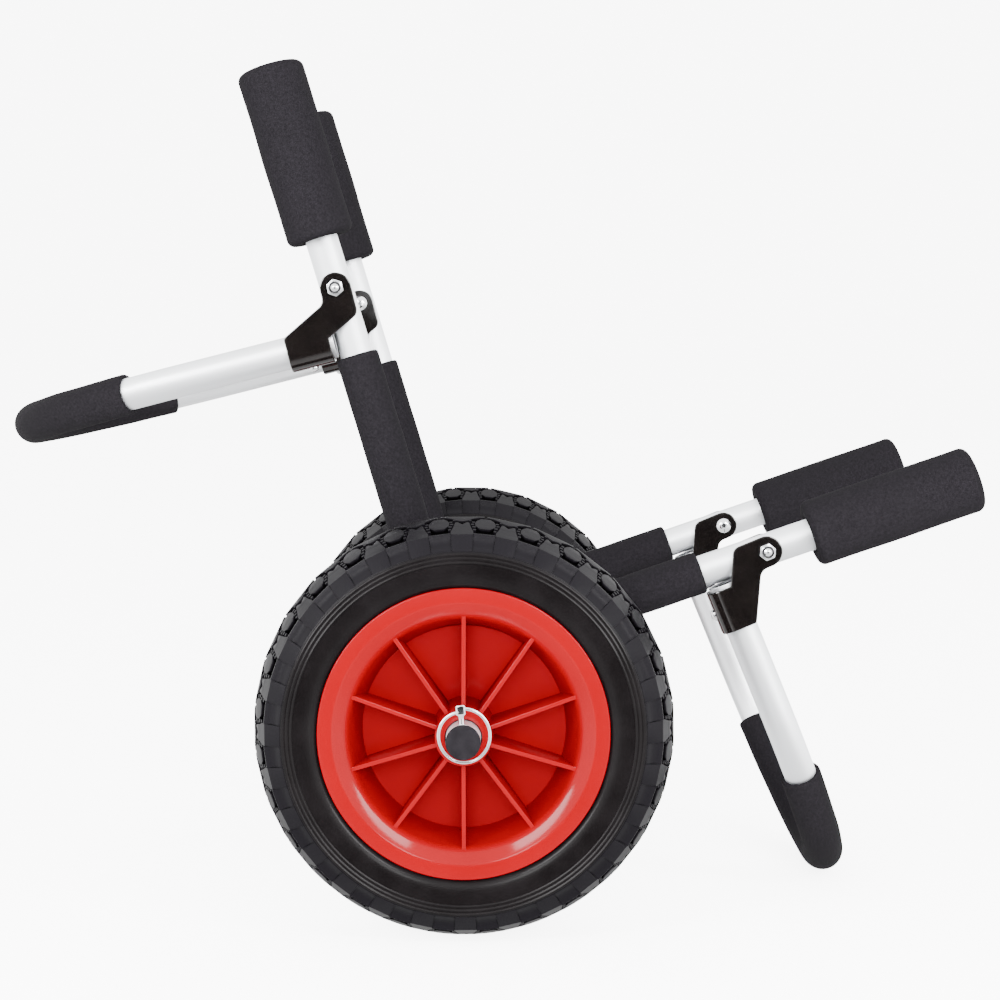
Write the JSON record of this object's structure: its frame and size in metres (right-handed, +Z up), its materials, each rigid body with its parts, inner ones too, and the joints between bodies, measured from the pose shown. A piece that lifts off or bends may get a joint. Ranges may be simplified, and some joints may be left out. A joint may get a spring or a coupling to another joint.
{
  "type": "paddleboard cart",
  "caption": "Two-wheeled cart that cradles a paddleboard on edge between foam-sleeved L-shaped side frames, with folding padded hoop legs.",
  "frame": {"origin": "on the ground, under the middle of the cart's outline", "axes": "+Z up, +Y along the axle from the near wheel to the far one, +X from the uprights' side towards the cradle tubes' ends"},
  "size_m": [0.652, 0.5094, 0.5504],
  "materials": {
    "tube_aluminium": "satin",
    "foam": "matt, fine grain",
    "bracket_paint": "gloss black coat",
    "fastener_zinc": "bright",
    "plug_plastic": "matt",
    "rim_plastic": "gloss",
    "tyre": "satin"
  },
  "bodies": {
    "frame": {"axle_cap_far": "plug_plastic", "axle_cap_near": "plug_plastic", "axle_spacer_far": "plug_plastic", "axle_spacer_near": "plug_plastic", "axle_tube": "tube_aluminium", "cradle_cap_far": "plug_plastic", "cradle_cap_near": "plug_plastic", "cradle_grip_far": "foam", "cradle_grip_near": "foam", "cradle_sleeve_far": "foam", "cradle_sleeve_near": "foam", "cradle_tube_far": "tube_aluminium", "cradle_tube_near": "tube_aluminium", "left_leg_bolt_far": "fastener_zinc", "left_leg_bolt_near": "fastener_zinc", "left_leg_lock_nut_far": "fastener_zinc", "left_leg_lock_nut_near": "fastener_zinc", "linch_pin_far": "fastener_zinc", "linch_pin_near": "fastener_zinc", "right_leg_bolt_far": "fastener_zinc", "right_leg_bolt_near": "fastener_zinc", "right_leg_lock_nut_far": "fastener_zinc", "right_leg_lock_nut_near": "fastener_zinc", "upright_cap_far": "plug_plastic", "upright_cap_near": "plug_plastic", "upright_grip_far": "foam", "upright_grip_near": "foam", "upright_sleeve_far": "foam", "upright_sleeve_near": "foam", "upright_tube_far": "tube_aluminium", "upright_tube_near": "tube_aluminium"},
    "left_leg": {"left_leg_bracket_far": "bracket_paint", "left_leg_bracket_near": "bracket_paint", "left_leg_hoop": "tube_aluminium", "left_leg_hoop_plug_far": "plug_plastic", "left_leg_hoop_plug_near": "plug_plastic", "left_leg_hoop_sleeve": "foam", "left_leg_web_screw_far": "fastener_zinc", "left_leg_web_screw_near": "fastener_zinc"},
    "right_leg": {"right_leg_bracket_far": "bracket_paint", "right_leg_bracket_near": "bracket_paint", "right_leg_hoop": "tube_aluminium", "right_leg_hoop_plug_far": "plug_plastic", "right_leg_hoop_plug_near": "plug_plastic", "right_leg_hoop_sleeve": "foam", "right_leg_web_screw_far": "fastener_zinc", "right_leg_web_screw_near": "fastener_zinc"},
    "near_wheel": {"hub_bush_inner_near": "plug_plastic", "hub_bush_outer_near": "plug_plastic", "rim_near": "rim_plastic", "tyre_near": "tyre"},
    "far_wheel": {"hub_bush_inner_far": "plug_plastic", "hub_bush_outer_far": "plug_plastic", "rim_far": "rim_plastic", "tyre_far": "tyre"},
    "near_ring": {"linch_ring_near": "fastener_zinc"},
    "far_ring": {"linch_ring_far": "fastener_zinc"}
  },
  "joints": [
    {"name": "left_leg_fold", "type": "hinge", "parent": "frame", "child": "left_leg", "pos_m": [-0.09274, 0, 0.40404], "axis": [0, 1, 0], "range_deg": [0, 85.65]},
    {"name": "right_leg_fold", "type": "hinge", "parent": "frame", "child": "right_leg", "pos_m": [0.18411, 0, 0.23517], "axis": [0, -1, 0], "range_deg": [0, 85]},
    {"name": "near_wheel_spin", "type": "hinge", "parent": "frame", "child": "near_wheel", "pos_m": [-0.00998, -0.19, 0.13079], "axis": [0, 1, 0], "continuous": true},
    {"name": "far_wheel_spin", "type": "hinge", "parent": "frame", "child": "far_wheel", "pos_m": [-0.00998, 0.19, 0.13079], "axis": [0, 1, 0], "continuous": true},
    {"name": "near_ring_swing", "type": "hinge", "parent": "frame", "child": "near_ring", "pos_m": [-0.00998, -0.2497, 0.15009], "axis": [-0.9397, 0, -0.342], "range_deg": [0, 180]},
    {"name": "far_ring_swing", "type": "hinge", "parent": "frame", "child": "far_ring", "pos_m": [-0.00998, 0.2497, 0.15009], "axis": [0.9397, 0, 0.342], "range_deg": [0, 180]}
  ]
}
